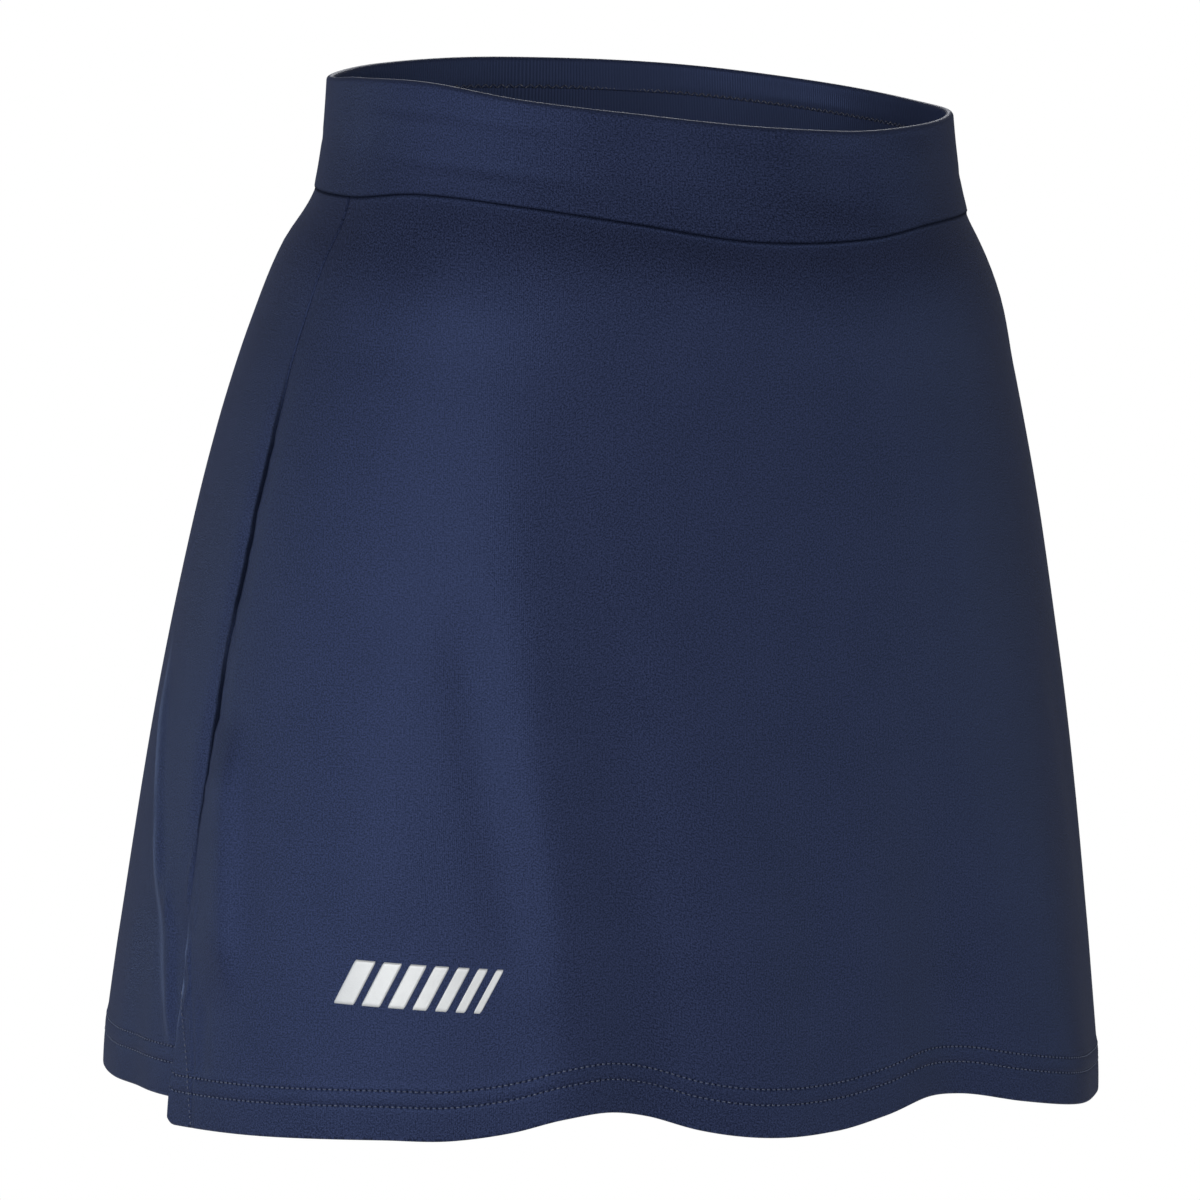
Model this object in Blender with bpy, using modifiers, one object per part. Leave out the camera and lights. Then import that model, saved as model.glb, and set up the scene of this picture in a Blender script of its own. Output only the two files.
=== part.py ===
"""Field hockey skirt in double-knit polyester, standing open as it does when worn.

Metres, +Z up, front towards -Y. The origin is the centre of the waist opening.
Every piece of cloth is a wall whose outer face is a surface of two parameters:
an angle round the body and a drop below the waist edge. Angles are in degrees,
0 at the wearer's left hip, 90 at the back, 180 at the right hip, 270 in front.
"""

from collections import namedtuple

import bpy
import numpy as np

# Cloth walls and the gaps between pieces
CLOTH = 0.0012
SEAM_GAP = 0.0003
FILM = 0.0003
FILM_STANDS_OFF = 0.0006

# Overall form: the plan of each ring is a rounded oval, lower in front at the waist
OVAL_POWER = 2.2
MEAN_SEAM_DROP = 0.043
MEAN_HEM_DROP = 0.385
WAIST_TILT = 0.128
LEVEL_DROP = 0.390

# Waistband: folded over at its top edge and turned in by the casing's height
BAND_FOLD_RADIUS = 0.0016
CASING_HEIGHT = 0.012
FACING_INSET = 0.0016
PANEL_TUCK = 0.0009
PANEL_TUCK_REACH = 0.022

# Vent at the wearer's right side seam: the back panel passes under the front one
VENT_TOP = 0.302
VENT_EASE = 0.026
VENT_UNDERLAP = 6.0
VENT_STEP_REACH = 16.0
VENT_STEP = 0.0017
CORNER_RADIUS = 0.006

# Silver heat-transfer bars low on the front panel, narrower one after another
BAR_COUNT = 7
BAR_ROW_ANGLES = (211.0, 233.0)
BAR_DROPS = (0.3215, 0.3385)
BAR_LEAN = 2.6
WIDEST_BAR = 2.9
NARROWEST_BAR = 0.9

# How finely the faceted walls are divided
RING_SEGMENTS = 60
FRONT_COLUMNS = 52
BACK_COLUMNS = 38
PANEL_ROWS = 13
ROW_CROWDING = 1.15

# Rings of the body: drop below the waist edge, half width, half depth, forward shift
Section = namedtuple("Section", "drop half_width half_depth shift")
BAND_SECTIONS = (
    Section(-0.003, 0.1272, 0.0941, 0.0000),
    Section(0.015, 0.1285, 0.0953, -0.0018),
    Section(0.030, 0.1302, 0.0967, -0.0036),
    Section(0.040, 0.1322, 0.0983, -0.0052),
    Section(0.052, 0.1352, 0.1007, -0.0072),
)
SKIRT_SECTIONS = (
    Section(0.036, 0.1316, 0.0979, -0.0048),
    Section(0.045, 0.1342, 0.0999, -0.0068),
    Section(0.055, 0.1381, 0.1030, -0.0078),
    Section(0.070, 0.1455, 0.1087, -0.0060),
    Section(0.100, 0.1552, 0.1165, -0.0022),
    Section(0.150, 0.1681, 0.1270, 0.0003),
    Section(0.200, 0.1781, 0.1354, 0.0015),
    Section(0.250, 0.1866, 0.1429, 0.0015),
    Section(0.300, 0.1937, 0.1493, 0.0010),
    Section(0.350, 0.1997, 0.1549, 0.0010),
    Section(0.396, 0.2045, 0.1597, 0.0006),
)

# Edges that run round the body: angle and drop
Edge = namedtuple("Edge", "angle drop")
WAIST_EDGE = (
    Edge(0.0, 0.0020),
    Edge(30.0, 0.0022),
    Edge(65.0, 0.0017),
    Edge(95.0, 0.0029),
    Edge(123.0, 0.0053),
    Edge(150.0, 0.0064),
    Edge(166.0, 0.0046),
    Edge(180.0, 0.0010),
    Edge(201.0, -0.0029),
    Edge(224.0, -0.0013),
    Edge(246.0, -0.0001),
    Edge(271.0, 0.0025),
    Edge(285.0, 0.0032),
    Edge(306.0, 0.0016),
    Edge(332.0, 0.0003),
)
BAND_SEAM = (
    Edge(0.0, 0.0425),
    Edge(45.0, 0.0440),
    Edge(90.0, 0.0450),
    Edge(135.0, 0.0470),
    Edge(162.0, 0.0480),
    Edge(180.0, 0.0460),
    Edge(200.0, 0.0396),
    Edge(225.0, 0.0390),
    Edge(245.0, 0.0416),
    Edge(266.0, 0.0462),
    Edge(286.0, 0.0444),
    Edge(302.0, 0.0402),
    Edge(323.0, 0.0388),
)
FRONT_HEM = (
    Edge(183.0, 0.3940),
    Edge(198.0, 0.3922),
    Edge(219.0, 0.3885),
    Edge(228.0, 0.3872),
    Edge(235.0, 0.3830),
    Edge(240.5, 0.3775),
    Edge(245.5, 0.3750),
    Edge(250.5, 0.3772),
    Edge(256.0, 0.3825),
    Edge(262.0, 0.3855),
    Edge(270.0, 0.3852),
    Edge(276.0, 0.3812),
    Edge(283.0, 0.3762),
    Edge(288.0, 0.3766),
    Edge(297.0, 0.3818),
    Edge(306.0, 0.3860),
    Edge(322.0, 0.3885),
    Edge(340.0, 0.3865),
    Edge(357.0, 0.3840),
)
BACK_HEM = (
    Edge(-3.0, 0.3840),
    Edge(16.0, 0.3790),
    Edge(32.0, 0.3850),
    Edge(50.0, 0.3782),
    Edge(70.0, 0.3862),
    Edge(91.0, 0.3796),
    Edge(112.0, 0.3858),
    Edge(131.0, 0.3800),
    Edge(155.0, 0.3836),
    Edge(186.0, 0.3842),
)

# Folds that grow down the cloth: angle and drop of both ends, half width, height
Fold = namedtuple("Fold", "top_angle low_angle top_drop low_drop half_width height")
FOLDS = (
    Fold(226.0, 242.5, 0.068, 0.340, 7.4, 0.0050),
    Fold(241.9, 250.5, 0.100, 0.375, 5.9, -0.0047),
    Fold(250.0, 263.5, 0.130, 0.386, 8.0, 0.0055),
    Fold(282.0, 286.5, 0.190, 0.376, 7.5, -0.0062),
    Fold(304.0, 307.0, 0.210, 0.386, 9.0, 0.0052),
    Fold(335.0, 338.0, 0.210, 0.386, 9.0, -0.0035),
    Fold(10.0, 15.0, 0.180, 0.380, 8.0, -0.0055),
    Fold(30.0, 33.0, 0.150, 0.385, 8.0, 0.0050),
    Fold(48.0, 51.0, 0.200, 0.378, 7.5, -0.0055),
    Fold(68.0, 70.0, 0.140, 0.386, 9.0, 0.0055),
    Fold(90.0, 91.0, 0.180, 0.380, 8.0, -0.0050),
    Fold(110.0, 112.0, 0.130, 0.386, 9.0, 0.0050),
    Fold(132.0, 131.0, 0.190, 0.380, 8.0, -0.0045),
    Fold(168.0, 180.0, 0.240, 0.380, 4.0, 0.0016),
)

# The right side seam leans forward a little near the waist; the left one is straight
SeamPoint = namedtuple("SeamPoint", "drop angle")
RIGHT_SEAM = (
    SeamPoint(0.040, 179.6),
    SeamPoint(0.080, 182.2),
    SeamPoint(0.170, 183.2),
    SeamPoint(0.260, 183.0),
    SeamPoint(0.330, 184.2),
    SeamPoint(0.400, 184.0),
)
LEFT_SEAM_ANGLE = -3.0

NAVY = (0.021, 0.030, 0.068, 1.0)
NAVY_INSIDE = (0.015, 0.022, 0.054, 1.0)
SILVER = (0.56, 0.57, 0.58, 1.0)

Grid = namedtuple("Grid", "angles drops points")


def curve_through(known, values, at):
    """Cubic curve through known values, level beyond its ends."""
    known = np.asarray(known)
    values = np.asarray(values)
    slopes = np.gradient(values, known)
    at = np.clip(at, known[0], known[-1])
    left = np.clip(np.searchsorted(known, at, side="right") - 1, 0, len(known) - 2)
    span = known[left + 1] - known[left]
    along = (at - known[left]) / span
    start = (1 + 2 * along) * (1 - along) ** 2 * values[left]
    end = along**2 * (3 - 2 * along) * values[left + 1]
    leaving = along * (1 - along) ** 2 * span * slopes[left]
    arriving = along**2 * (along - 1) * span * slopes[left + 1]
    return start + end + leaving + arriving


def column(rows, name):
    return np.array([getattr(row, name) for row in rows])


def by_drop(rows, name, drop):
    return curve_through(column(rows, "drop"), column(rows, name), drop)


def by_angle(edges, angle):
    """Drop of an edge that stops at its first and last angle."""
    return curve_through(column(edges, "angle"), column(edges, "drop"), angle)


def round_body(edges, angle):
    """Drop of an edge that closes on itself round the body."""
    angles = column(edges, "angle")
    drops = column(edges, "drop")
    turns = np.concatenate([angles - 360.0, angles, angles + 360.0])
    return curve_through(turns, np.tile(drops, 3), np.mod(angle, 360.0))


def ease(share):
    """0 to 1 with level ends."""
    share = np.clip(share, 0.0, 1.0)
    return share * share * (3.0 - 2.0 * share)


def signed_power(value, power):
    return np.sign(value) * np.abs(value) ** power


def fold_height(angle, drop):
    """Sum of the folds: each a rounded ridge or trough along its own slanting line."""
    height = np.zeros(np.broadcast(angle, drop).shape)
    for fold in FOLDS:
        along = (drop - fold.top_drop) / (fold.low_drop - fold.top_drop)
        along = np.clip(along, 0.0, 1.0)
        middle = fold.top_angle + (fold.low_angle - fold.top_angle) * along
        across = np.mod(angle - middle + 180.0, 360.0) - 180.0
        height += fold.height * np.exp(-((across / fold.half_width) ** 2)) * ease(along)
    return height


def cloth_point(sections, angle, drop, inset):
    """Point at an angle and drop, inside the cloth's outer face by inset."""
    turn = np.radians(angle)
    half_width = by_drop(sections, "half_width", drop)
    half_depth = by_drop(sections, "half_depth", drop)
    shift = by_drop(sections, "shift", drop)
    across = half_width * signed_power(np.cos(turn), 2 / OVAL_POWER)
    back = half_depth * signed_power(np.sin(turn), 2 / OVAL_POWER)
    steep = 2 * (OVAL_POWER - 1) / OVAL_POWER
    out_x = signed_power(np.cos(turn), steep) / half_width
    out_y = signed_power(np.sin(turn), steep) / half_depth
    length = np.hypot(out_x, out_y)
    out = fold_height(angle, drop) - inset
    lift = WAIST_TILT * (1 - drop / LEVEL_DROP) * back
    return np.stack(
        [
            across + out * out_x / length,
            shift + back + out * out_y / length,
            lift - drop,
        ],
        axis=-1,
    )


def material(name, colour, roughness, metallic=0.0):
    made = bpy.data.materials.new(name)
    made.use_nodes = True
    shader = made.node_tree.nodes["Principled BSDF"]
    shader.inputs["Base Color"].default_value = colour
    shader.inputs["Roughness"].default_value = roughness
    shader.inputs["Metallic"].default_value = metallic
    return made


def add_wall(name, points, thickness, finish, closed, collection):
    """Open surface on a grid of points, first axis round the body, given its wall inwards."""
    across, down = points.shape[:2]
    index = np.arange(across * down).reshape(across, down)
    right = np.roll(index, -1, axis=0)
    if not closed:
        index, right = index[:-1], right[:-1]
    corners = [index[:, :-1], index[:, 1:], right[:, 1:], right[:, :-1]]
    faces = np.stack(corners, axis=-1).reshape(-1, 4)
    mesh = bpy.data.meshes.new(name)
    mesh.from_pydata(points.reshape(-1, 3).tolist(), [], faces.tolist())
    mesh.shade_smooth()
    mesh.materials.append(finish)
    piece = bpy.data.objects.new(name, mesh)
    wall = piece.modifiers.new("wall", "SOLIDIFY")
    wall.thickness = thickness
    wall.offset = -1.0
    collection.objects.link(piece)
    return piece


def edge_angle_gap(drop):
    """Half the seam gap, as an angle, where the side seams lie."""
    return np.degrees(SEAM_GAP / 2 / by_drop(SKIRT_SECTIONS, "half_depth", drop))


def right_seam(drop):
    return curve_through(column(RIGHT_SEAM, "drop"), column(RIGHT_SEAM, "angle"), drop)


def panel_grid(columns, first_edge, last_edge, hem, inset):
    """Grid between two side edges, from the waistband seam down to the hem.

    columns are shares across; the edges and the inset are functions of the drop,
    the hem one of the angle.
    """
    down = (np.linspace(0.0, 1.0, PANEL_ROWS + 1) ** ROW_CROWDING)[None, :]
    drop = MEAN_SEAM_DROP + (MEAN_HEM_DROP - MEAN_SEAM_DROP) * down
    first = first_edge(drop)
    angle = first + (last_edge(drop) - first) * columns[:, None]
    top = round_body(BAND_SEAM, angle) + SEAM_GAP
    drop = top + (hem(angle) - top) * down
    tuck = PANEL_TUCK * (1 - ease((drop - top) / PANEL_TUCK_REACH))
    points = cloth_point(SKIRT_SECTIONS, angle, drop, tuck + inset(angle, drop))
    return Grid(angle, drop, points)


def front_panel():
    """Front of the skirt; its right edge lies over the vent and has a rounded corner."""

    def hem(angle):
        from_edge = np.radians(angle - RIGHT_SEAM[-1].angle) * SKIRT_SECTIONS[-1].half_depth
        inside = np.clip(1 - from_edge / CORNER_RADIUS, 0.0, 1.0)
        return by_angle(FRONT_HEM, angle) - CORNER_RADIUS * (1 - np.sqrt(1 - inside**2))

    corner = np.array([0.0, 0.0035, 0.0085])
    columns = np.concatenate([corner, np.linspace(0.016, 1.0, FRONT_COLUMNS - 2)])
    return panel_grid(
        columns,
        lambda drop: right_seam(drop) + edge_angle_gap(drop),
        lambda drop: 360.0 + LEFT_SEAM_ANGLE - edge_angle_gap(drop),
        hem,
        lambda angle, drop: 0.0,
    )


def back_panel():
    """Back of the skirt; at the vent its right edge steps in and runs under the front."""

    def last_edge(drop):
        under = ease((drop - VENT_TOP) / VENT_EASE - 1.5)
        return right_seam(drop) - edge_angle_gap(drop) + VENT_UNDERLAP * under

    def inset(angle, drop):
        near = ease((angle - right_seam(drop) + VENT_STEP_REACH) / VENT_STEP_REACH * 2)
        return VENT_STEP * near * ease((drop - VENT_TOP) / VENT_EASE)

    return panel_grid(
        np.linspace(0.0, 1.0, BACK_COLUMNS + 1),
        lambda drop: LEFT_SEAM_ANGLE + edge_angle_gap(drop),
        last_edge,
        lambda angle: by_angle(BACK_HEM, angle),
        inset,
    )


def ring_angles():
    return np.arange(RING_SEGMENTS)[:, None] * 360.0 / RING_SEGMENTS


def band_points():
    """Outer wall, rolled over the top edge and turned down inside as the casing."""
    angle = ring_angles()
    edge = round_body(WAIST_EDGE, angle)
    seam = round_body(BAND_SEAM, angle)
    wall = edge + (seam - edge) * np.array([1.0, 0.66, 0.33])
    over = np.radians([0.0, 45.0, 90.0, 135.0, 180.0])
    roll = edge + BAND_FOLD_RADIUS * (1 - np.sin(over))
    casing = edge + CASING_HEIGHT
    drop = np.concatenate([wall, roll, casing], axis=1)
    rolled_in = BAND_FOLD_RADIUS * (1 - np.cos(over))
    inset = np.concatenate([np.zeros(3), rolled_in, rolled_in[-1:]])
    points = cloth_point(BAND_SECTIONS, angle, drop, inset[None, :])
    return points[:, ::-1]


def facing_points():
    """Inner layer of the band, from under the casing down to the seam."""
    angle = ring_angles()
    top = round_body(WAIST_EDGE, angle) + CASING_HEIGHT + SEAM_GAP
    down = np.linspace(0.0, 1.0, 3)[None, :]
    drop = top + (round_body(BAND_SEAM, angle) - top) * down
    return cloth_point(BAND_SECTIONS, angle, drop, FACING_INSET)


def on_panel(panel, angle, drop, stand_off):
    """Points of a panel's facets at angles and drops, moved out."""
    row = np.interp(drop, panel.drops[FRONT_COLUMNS // 4], np.arange(PANEL_ROWS + 1))
    level = int(row.mean())
    place = np.interp(angle, panel.angles[:, level], np.arange(len(panel.angles)))
    left = place.astype(int)
    above = np.minimum(row.astype(int), PANEL_ROWS - 1)
    s = (place - left)[..., None]
    t = (row - above)[..., None]
    grid = panel.points
    upper = grid[left, above] * (1 - s) + grid[left + 1, above] * s
    lower = grid[left, above + 1] * (1 - s) + grid[left + 1, above + 1] * s
    point = upper * (1 - t) + lower * t
    downwards = lower - upper
    onwards = grid[left + 1, above] - grid[left, above]
    out = np.cross(downwards, onwards)
    return point + stand_off * out / np.linalg.norm(out, axis=-1, keepdims=True)


def bar_points(panel, first_angle, width):
    """Leaning four-sided patch of the front panel, moved out."""
    down = np.linspace(0.0, 1.0, 6)[None, :]
    across = np.linspace(0.0, 1.0, 3)[:, None]
    angle = first_angle + width * across + BAR_LEAN * (1 - down)
    drop = BAR_DROPS[0] + (BAR_DROPS[1] - BAR_DROPS[0]) * down + 0 * across
    return on_panel(panel, angle, drop, FILM_STANDS_OFF + FILM)


def bar_places():
    """First angle and width of each bar, with equal gaps over the row."""
    widths = np.linspace(WIDEST_BAR, NARROWEST_BAR, BAR_COUNT)
    first, last = BAR_ROW_ANGLES
    gap = (last - first - BAR_LEAN - widths.sum()) / (BAR_COUNT - 1)
    starts = first + np.concatenate([[0.0], np.cumsum(widths[:-1] + gap)])
    return zip(starts, widths)


def clear_scene():
    for old in list(bpy.data.objects):
        bpy.data.objects.remove(old, do_unlink=True)


def build():
    clear_scene()
    skirt = bpy.data.collections.new("field_hockey_skirt")
    bpy.context.scene.collection.children.link(skirt)
    knit = material("navy_knit", NAVY, 0.62)
    band_knit = material("navy_band_knit", NAVY, 0.66)
    inside_knit = material("navy_inside_knit", NAVY_INSIDE, 0.75)
    film = material("silver_film", SILVER, 0.38, 0.6)
    front = front_panel()
    add_wall("front_panel", front.points, CLOTH, knit, False, skirt)
    add_wall("back_panel", back_panel().points, CLOTH, knit, False, skirt)
    add_wall("waistband", band_points(), CLOTH, band_knit, True, skirt)
    add_wall("waistband_facing", facing_points(), CLOTH, inside_knit, True, skirt)
    for number, (first_angle, width) in enumerate(bar_places(), start=1):
        bar = bar_points(front, first_angle, width)
        add_wall(f"transfer_bar_{number}", bar, FILM, film, False, skirt)


build()
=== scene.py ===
"""Looks of a navy field hockey skirt, standing open as it does when worn.

Metres, +Z up, front towards -Y, the origin at the centre of the waist opening. Places on
the cloth are given as an angle round the body, in degrees from the wearer's left hip
(90 back, 180 right hip, 270 front), and as a drop below the waist edge.
"""

import math
from collections import namedtuple

import bpy
import numpy as np
from mathutils import Matrix, Vector


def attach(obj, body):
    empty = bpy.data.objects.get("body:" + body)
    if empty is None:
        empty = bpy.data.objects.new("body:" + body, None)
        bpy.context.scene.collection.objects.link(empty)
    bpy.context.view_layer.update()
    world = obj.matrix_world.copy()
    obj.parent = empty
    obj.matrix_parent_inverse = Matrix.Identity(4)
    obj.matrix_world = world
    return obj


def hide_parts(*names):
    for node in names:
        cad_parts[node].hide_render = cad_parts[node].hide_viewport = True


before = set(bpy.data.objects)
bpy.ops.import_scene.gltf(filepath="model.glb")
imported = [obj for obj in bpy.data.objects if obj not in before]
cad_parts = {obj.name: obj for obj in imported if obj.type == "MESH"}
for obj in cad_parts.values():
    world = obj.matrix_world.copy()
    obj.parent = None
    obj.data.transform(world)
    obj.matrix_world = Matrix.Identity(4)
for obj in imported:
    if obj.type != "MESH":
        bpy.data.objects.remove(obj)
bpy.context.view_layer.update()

# ---------------------------------------------------------------------------------------
# Studio. A long lens a little above the hem's level looks at the wearer's right front.
# The skirt is held at waist height over a pale seamless floor, in soft light all round.

CAMERA_DISTANCE = 2.5
CAMERA_TURN = math.radians(-32.0)
CAMERA_PITCH = math.radians(4.57)
CAMERA_ROLL = math.radians(2.0)
VIEW_WIDTH = 0.4656
AIM_RIGHT = -0.0166
AIM_UP = -0.2000
SENSOR_MM = 36.0


def direction(turn, rise):
    """Unit vector at an angle round from the front and an angle up, in radians."""
    level = math.cos(rise)
    return Vector((math.sin(turn) * level, -math.cos(turn) * level, math.sin(rise)))


level_right = Vector((math.cos(CAMERA_TURN), math.sin(CAMERA_TURN), 0.0))
to_camera = direction(CAMERA_TURN, CAMERA_PITCH)
level_up = to_camera.cross(level_right)
view_right = math.cos(CAMERA_ROLL) * level_right + math.sin(CAMERA_ROLL) * level_up
view_up = math.cos(CAMERA_ROLL) * level_up - math.sin(CAMERA_ROLL) * level_right
camera = bpy.data.objects.new("camera", bpy.data.cameras.new("camera"))
camera.data.lens = SENSOR_MM * CAMERA_DISTANCE / VIEW_WIDTH
camera.data.sensor_width = SENSOR_MM
camera.data.clip_start = 0.05
camera.data.clip_end = 60.0
camera.matrix_world = Matrix.Translation(
    AIM_RIGHT * view_right + AIM_UP * view_up + CAMERA_DISTANCE * to_camera
) @ Matrix((view_right, view_up, to_camera)).transposed().to_4x4()
bpy.context.collection.objects.link(camera)
bpy.context.scene.camera = camera

FLOOR_LEVEL = -1.0
FLOOR_HALF = 2.2
FLOOR_WHITE = (0.80, 0.80, 0.80, 1.0)
FLOOR_GLOW = 0.15


def feed(node, sockets):
    """Fills a node's input sockets with values or links."""
    for name, value in sockets.items():
        if isinstance(value, Link):
            node.id_data.links.new(value.socket, node.inputs[name])
        else:
            node.inputs[name].default_value = value


class Link:
    """A socket of a node tree; arithmetic on it adds Math nodes."""

    def __init__(self, tree, socket=None):
        self.tree = tree
        self.socket = socket

    def node(self, kind, settings, sockets, output=0):
        """New node: its type, its settings, the values or links of its sockets."""
        made = self.tree.nodes.new(kind)
        for name, value in settings.items():
            setattr(made, name, value)
        feed(made, sockets)
        return Link(self.tree, made.outputs[output])

    def output(self, name):
        return Link(self.tree, self.socket.node.outputs[name])

    def maths(self, operation, *values):
        return self.node("ShaderNodeMath", {"operation": operation}, dict(enumerate(values)))

    def __add__(self, other):
        return self.maths("ADD", self, other)

    __radd__ = __add__

    def __sub__(self, other):
        return self.maths("SUBTRACT", self, other)

    def __rsub__(self, other):
        return self.maths("SUBTRACT", other, self)

    def __mul__(self, other):
        return self.maths("MULTIPLY", self, other)

    __rmul__ = __mul__

    def __truediv__(self, other):
        return self.maths("DIVIDE", self, other)

    def __pow__(self, power):
        return self.maths("POWER", self, power)


def new_material(name):
    """New material and its Principled shader."""
    made = bpy.data.materials.new(name)
    made.use_nodes = True
    return made, made.node_tree.nodes["Principled BSDF"]


def new_piece(name, points, faces, finish):
    """Object with one mesh of one material, in the scene."""
    mesh = bpy.data.meshes.new(name)
    mesh.from_pydata(points, [], faces)
    mesh.materials.append(finish)
    piece = bpy.data.objects.new(name, mesh)
    bpy.context.collection.objects.link(piece)
    return piece


floor_paint, floor_shader = new_material("pale_floor")
floor_look = {
    "Base Color": FLOOR_WHITE,
    "Roughness": 0.8,
    "Specular IOR Level": 0.1,
    "Emission Color": FLOOR_WHITE,
    "Emission Strength": FLOOR_GLOW,
}
feed(floor_shader, floor_look)
floor_corners = [(-1, -1), (1, -1), (1, 1), (-1, 1)]
floor_points = [(x * FLOOR_HALF, y * FLOOR_HALF, FLOOR_LEVEL) for x, y in floor_corners]
floor = new_piece("floor", floor_points, [(0, 1, 2, 3)], floor_paint)

SKY_SEEN = 1.0
SKY_LIGHT = 0.12

world = bpy.data.worlds.new("studio")
world.use_nodes = True
bpy.context.scene.world = world
seen = Link(world.node_tree).node("ShaderNodeLightPath", {}, {}, "Is Camera Ray")
sky_range = {"Value": seen, "To Min": SKY_LIGHT, "To Max": SKY_SEEN}
sky_level = seen.node("ShaderNodeMapRange", {}, sky_range)
sky_look = {"Color": (1.0, 1.0, 1.0, 1.0), "Strength": sky_level}
feed(world.node_tree.nodes["Background"], sky_look)

# Soft boxes of one size, all as far from the middle of the skirt: turn from the camera's
# side (positive to the view's right), height angle, power, colour
WHITE = (1.0, 1.0, 1.0)
COOL = (0.80, 0.90, 1.0)
BLUE = (0.60, 0.79, 1.0)
BOX_SIDE = 0.8
BOX_DISTANCE = 2.5
SoftBox = namedtuple("SoftBox", "name turn height watts colour")
SOFT_BOXES = (
    SoftBox("key", -29.0, 10.0, 20.0, WHITE),
    SoftBox("front", -12.0, 14.0, 10.0, WHITE),
    SoftBox("right", 41.0, 13.0, 10.4, WHITE),
    SoftBox("right_side", 72.0, -2.0, 3.4, COOL),
    SoftBox("far_right", 100.0, 5.0, 4.6, BLUE),
    SoftBox("left", -70.0, 5.0, 12.0, COOL),
    SoftBox("far_left", -112.0, 0.0, 3.8, BLUE),
    SoftBox("back", 178.0, 30.0, 7.0, WHITE),
)
LIGHTS_AIM = Vector((0.0, 0.0, -0.20))


def soft_box(box):
    """Square area light on a sphere round the skirt, facing its middle."""
    away = direction(CAMERA_TURN + math.radians(box.turn), math.radians(box.height))
    lamp = bpy.data.lights.new(box.name, "AREA")
    lamp.size = BOX_SIDE
    lamp.energy = box.watts
    lamp.color = box.colour
    light = bpy.data.objects.new(box.name, lamp)
    light.location = LIGHTS_AIM + BOX_DISTANCE * away
    light.rotation_mode = "QUATERNION"
    light.rotation_quaternion = away.to_track_quat("Z", "Y")
    bpy.context.collection.objects.link(light)


for box in SOFT_BOXES:
    soft_box(box)
bpy.context.scene.view_settings.view_transform = "Standard"

# ---------------------------------------------------------------------------------------
# Front panel. Navy double-knit polyester cut in one piece from waistband seam to hem; the
# hem and the vent edge are turned up inside, and the right edge lies over the back panel.

CLOTH = 0.0008
SEAM_GAP = 0.0003
HEM_ROLL = 0.0009
HEM_TURN = 0.0215
VENT_TURN = 0.0165
TURN_STEP = 0.0008
OVAL_POWER = 2.2
MEAN_SEAM_DROP = 0.043
MEAN_HEM_DROP = 0.385
WAIST_TILT = 0.128
LEVEL_DROP = 0.390

# Where the panels go up under the waistband, and how they come out from under it
UNDER_BAND_REACH = 0.005
UNDER_BAND_INSET = 0.0009
UNDER_BAND_CLOTH = 0.0006
PANEL_TUCK = 0.0005
PANEL_TUCK_REACH = 0.022
UNDER_BAND_EDGE = 0.0012

# Below the waistband's seam the panels are drawn in, more so in front: angle and depth
Pinch = namedtuple("Pinch", "angle depth")
SEAM_PINCH = (
    Pinch(0.0, 0.0004),
    Pinch(60.0, 0.0007),
    Pinch(120.0, 0.0006),
    Pinch(180.0, 0.0001),
    Pinch(200.0, 0.0003),
    Pinch(222.0, 0.0003),
    Pinch(250.0, 0.0005),
    Pinch(285.0, 0.0007),
    Pinch(303.0, 0.0004),
    Pinch(330.0, 0.0004),
)
PINCH_DROP = 0.0015
PINCH_REACH = 0.0090

VENT_TOP = 0.302
VENT_EASE = 0.026
CORNER_RADIUS = 0.0045
EDGE_CURL = 0.0010
HEM_PROUD = 0.00035
HEM_CURL = 0.0011
ROW_SINK = 0.00030
ROW_SWELL = 0.00010
VENT_ROW_NEAR = 0.0045
VENT_ROW_SLANT = 0.0115

PANEL_ROWS = 128
ROLL_ROWS = 6
FRONT_COLUMNS = 300

Section = namedtuple("Section", "drop half_width half_depth shift")
SKIRT_SECTIONS = (
    Section(0.036, 0.1316, 0.0979, -0.0048),
    Section(0.045, 0.1342, 0.0999, -0.0068),
    Section(0.055, 0.1381, 0.1030, -0.0078),
    Section(0.070, 0.1455, 0.1087, -0.0060),
    Section(0.100, 0.1552, 0.1165, -0.0022),
    Section(0.150, 0.1681, 0.1270, 0.0003),
    Section(0.200, 0.1781, 0.1354, 0.0015),
    Section(0.250, 0.1866, 0.1429, 0.0015),
    Section(0.300, 0.1937, 0.1493, 0.0010),
    Section(0.350, 0.1997, 0.1549, 0.0010),
    Section(0.396, 0.2045, 0.1597, 0.0006),
)
BAND_SECTIONS = (
    Section(-0.003, 0.1272, 0.0941, 0.0000),
    Section(0.015, 0.1285, 0.0953, -0.0018),
    Section(0.030, 0.1302, 0.0967, -0.0036),
    Section(0.040, 0.1322, 0.0983, -0.0052),
    Section(0.052, 0.1352, 0.1007, -0.0072),
)

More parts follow.
